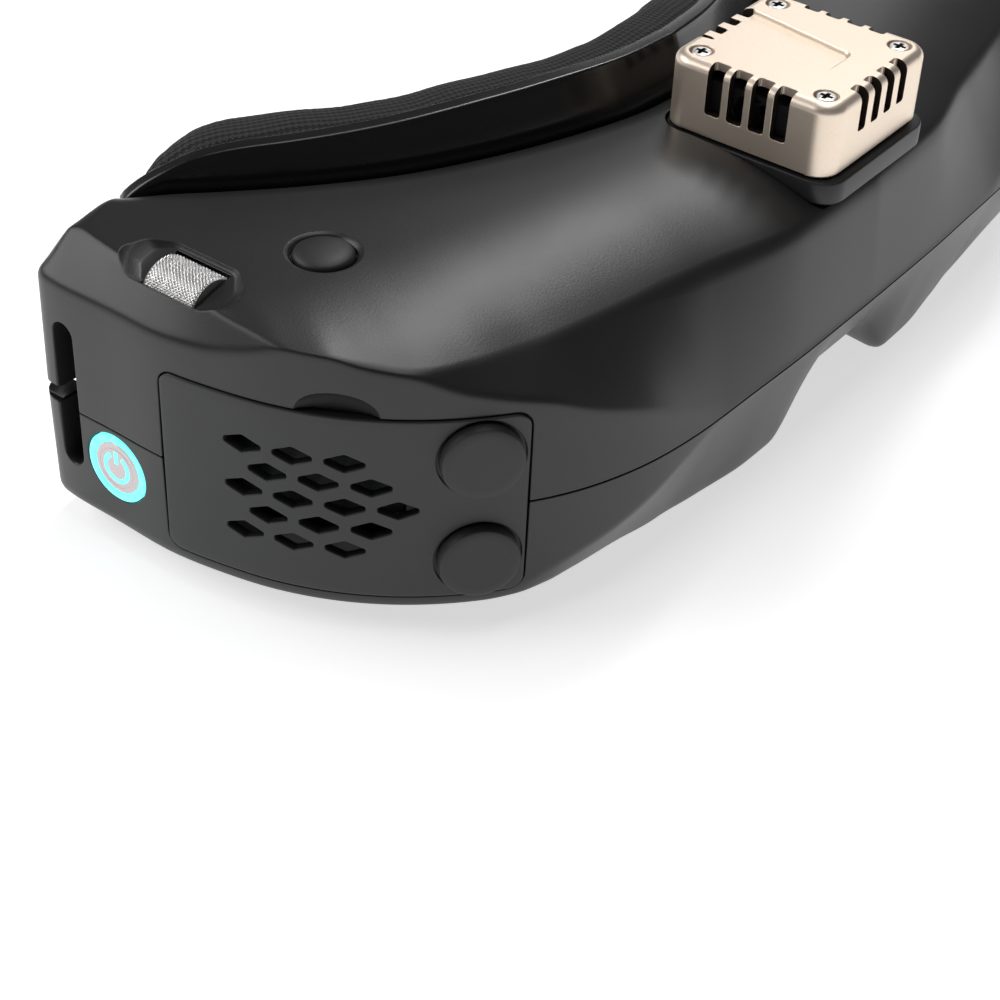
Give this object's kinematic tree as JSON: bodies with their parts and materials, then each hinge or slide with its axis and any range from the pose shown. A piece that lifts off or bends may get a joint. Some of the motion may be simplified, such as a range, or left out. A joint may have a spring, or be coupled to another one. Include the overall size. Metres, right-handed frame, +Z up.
{
  "type": "fpv goggles",
  "caption": "Curved FPV video goggles with a foam-lined face plate, sliding eyepieces, a top fan module, scroll wheels, push buttons and vented antenna covers.",
  "frame": {"origin": "centre of the bounding box in plan, at the height of the underside", "axes": "+Z up, the front faces -Y, the wearer's face is on the +Y side and the wearer's right end is at -X"},
  "size_m": [0.1942, 0.079, 0.056],
  "materials": {
    "shell": "fine matte texture",
    "cover": "fine matte texture",
    "faceplate": "satin black",
    "foam": "woven mesh over foam",
    "champagne": "bead-blasted champagne anodised",
    "steel": "knurled or turned steel",
    "black": "moulded black plastic",
    "rubber": "soft dark rubber",
    "light": "lit diffuser ring",
    "cap": "satin pale grey cap with a lit symbol",
    "glass": "coated lens glass",
    "screen": "dark display panel",
    "board": "green circuit board",
    "brass": "gold-plated connector"
  },
  "bodies": {
    "chassis": {"upper_shell": "shell", "lower_shell": "shell", "face_plate": "faceplate", "face_foam": "foam", "fan_plinth": "shell", "fan_housing": "champagne", "fan_frame": "black", "fan_screw_1": "steel", "fan_screw_2": "steel", "fan_screw_3": "steel", "fan_screw_4": "steel", "right_side_cover": "cover", "right_lower_antenna_plug": "rubber", "right_upper_antenna_plug": "rubber", "right_lower_antenna_socket": "brass", "right_upper_antenna_socket": "brass", "right_receiver_board": "board", "right_lower_guide_rod": "steel", "left_side_cover": "cover", "left_lower_antenna_plug": "rubber", "left_upper_antenna_plug": "rubber", "left_lower_antenna_socket": "brass", "left_upper_antenna_socket": "brass", "left_receiver_board": "board", "left_lower_guide_rod": "steel", "upper_guide_rod": "steel", "main_board": "board", "power_light_ring": "light", "power_jack": "black", "video_port": "black", "case_screw_1": "steel", "case_screw_2": "steel", "case_screw_3": "steel", "case_screw_4": "steel"},
    "fan": {"fan_rotor": "black"},
    "right_carrier": {"right_wheel_carrier": "black"},
    "right_wheel": {"right_scroll_wheel": "steel"},
    "left_carrier": {"left_wheel_carrier": "black"},
    "left_wheel": {"left_scroll_wheel": "steel"},
    "right_button": {"right_top_button": "rubber"},
    "left_button": {"left_top_button": "rubber"},
    "power_key": {"power_button": "cap"},
    "right_eyepiece": {"right_eyepiece_barrel": "black", "right_display": "screen", "right_ipd_knob": "rubber"},
    "left_eyepiece": {"left_eyepiece_barrel": "black", "left_display": "screen", "left_ipd_knob": "rubber"},
    "right_ring": {"right_focus_ring": "rubber"},
    "left_ring": {"left_focus_ring": "rubber"},
    "right_optic": {"right_lens_cell": "black", "right_lens": "glass"},
    "left_optic": {"left_lens_cell": "black", "left_lens": "glass"}
  },
  "joints": [
    {"name": "fan_spin", "type": "hinge", "parent": "chassis", "child": "fan", "pos_m": [0, -0.02182, 0.05], "axis": [0, 0, 1], "continuous": true},
    {"name": "right_wheel_press", "type": "slide", "parent": "chassis", "child": "right_carrier", "axis": [0, 0, 1], "range_m": [-0.0004, 0], "stiffness_N_per_m": 1500},
    {"name": "right_wheel_roll", "type": "hinge", "parent": "right_carrier", "child": "right_wheel", "pos_m": [-0.0883, 0.01558, 0.0406], "axis": [0, 1, 0], "continuous": true},
    {"name": "left_wheel_press", "type": "slide", "parent": "chassis", "child": "left_carrier", "axis": [0, 0, 1], "range_m": [-0.0004, 0], "stiffness_N_per_m": 1500},
    {"name": "left_wheel_roll", "type": "hinge", "parent": "left_carrier", "child": "left_wheel", "pos_m": [0.0883, 0.01558, 0.0406], "axis": [0, 1, 0], "continuous": true},
    {"name": "right_button_press", "type": "slide", "parent": "chassis", "child": "right_button", "axis": [0, 0, 1], "range_m": [-0.0005, 0], "stiffness_N_per_m": 600},
    {"name": "left_button_press", "type": "slide", "parent": "chassis", "child": "left_button", "axis": [0, 0, 1], "range_m": [-0.0005, 0], "stiffness_N_per_m": 600},
    {"name": "power_press", "type": "slide", "parent": "chassis", "child": "power_key", "axis": [1, 0, 0], "range_m": [0, 0.0005], "stiffness_N_per_m": 600},
    {"name": "right_ipd_slide", "type": "slide", "parent": "chassis", "child": "right_eyepiece", "axis": [-1, 0, 0], "range_m": [-0.003, 0.004]},
    {"name": "left_ipd_slide", "type": "slide", "parent": "chassis", "child": "left_eyepiece", "axis": [1, 0, 0], "range_m": [-0.003, 0.004]},
    {"name": "right_focus_turn", "type": "hinge", "parent": "right_eyepiece", "child": "right_ring", "pos_m": [-0.032, -0.0065, 0.0205], "axis": [0, 1, 0], "range_deg": [-45, 45]},
    {"name": "left_focus_turn", "type": "hinge", "parent": "left_eyepiece", "child": "left_ring", "pos_m": [0.032, -0.0065, 0.0205], "axis": [0, 1, 0], "range_deg": [-45, 45]},
    {"name": "right_focus_travel", "type": "slide", "parent": "right_eyepiece", "child": "right_optic", "axis": [0, 1, 0], "range_m": [-0.0013, 0.0013]},
    {"name": "left_focus_travel", "type": "slide", "parent": "left_eyepiece", "child": "left_optic", "axis": [0, 1, 0], "range_m": [-0.0013, 0.0013]}
  ],
  "couplings": [
    {"joint": "right_focus_travel", "follows": "right_focus_turn", "m_per_rad": 0.0015},
    {"joint": "left_focus_travel", "follows": "left_focus_turn", "m_per_rad": 0.0015}
  ]
}
